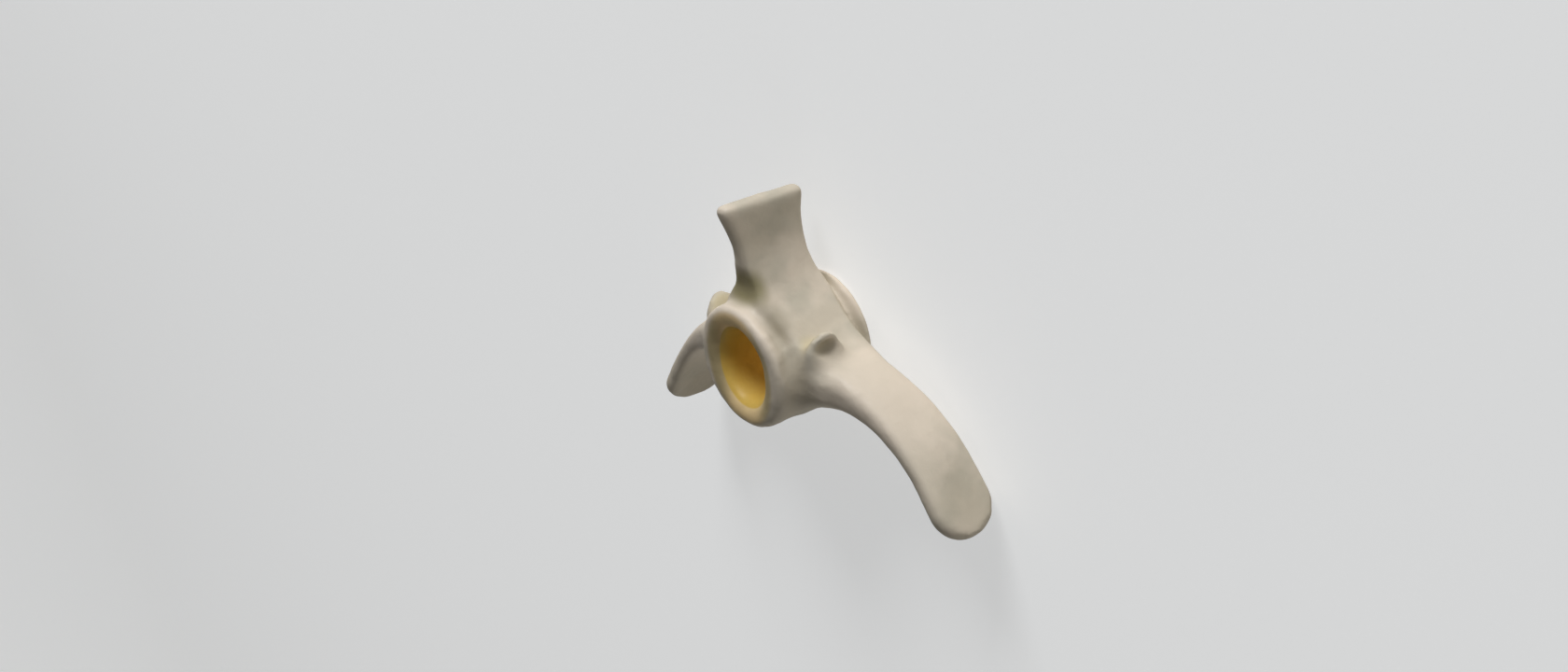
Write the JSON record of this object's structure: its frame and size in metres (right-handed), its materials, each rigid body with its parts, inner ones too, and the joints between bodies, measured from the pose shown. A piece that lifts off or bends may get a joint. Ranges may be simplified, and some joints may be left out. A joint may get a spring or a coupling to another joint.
{
  "type": "pig lumbar vertebra",
  "caption": "Pig lumbar vertebra: a waisted tube round a wide canal, a tall spinous plate and broad transverse processes that curve down, stood on its caudal end.",
  "frame": {"origin": "centre of the bounding box, on the floor under the bone, at the level of the flat caudal end", "axes": "+X to the animal's left, +Y to its back, +Z to its head, along the vertebral canal"},
  "size_m": [0.143, 0.0886, 0.0355],
  "materials": {
    "bone": "dry cleaned bone, satin"
  },
  "bodies": {
    "root": {"vertebral_body": "bone", "vertebral_arch": "bone", "spinous_process": "bone", "transverse_process_left": "bone", "transverse_process_right": "bone", "cranial_articular_process_left": "bone", "cranial_articular_process_right": "bone"}
  },
  "joints": []
}
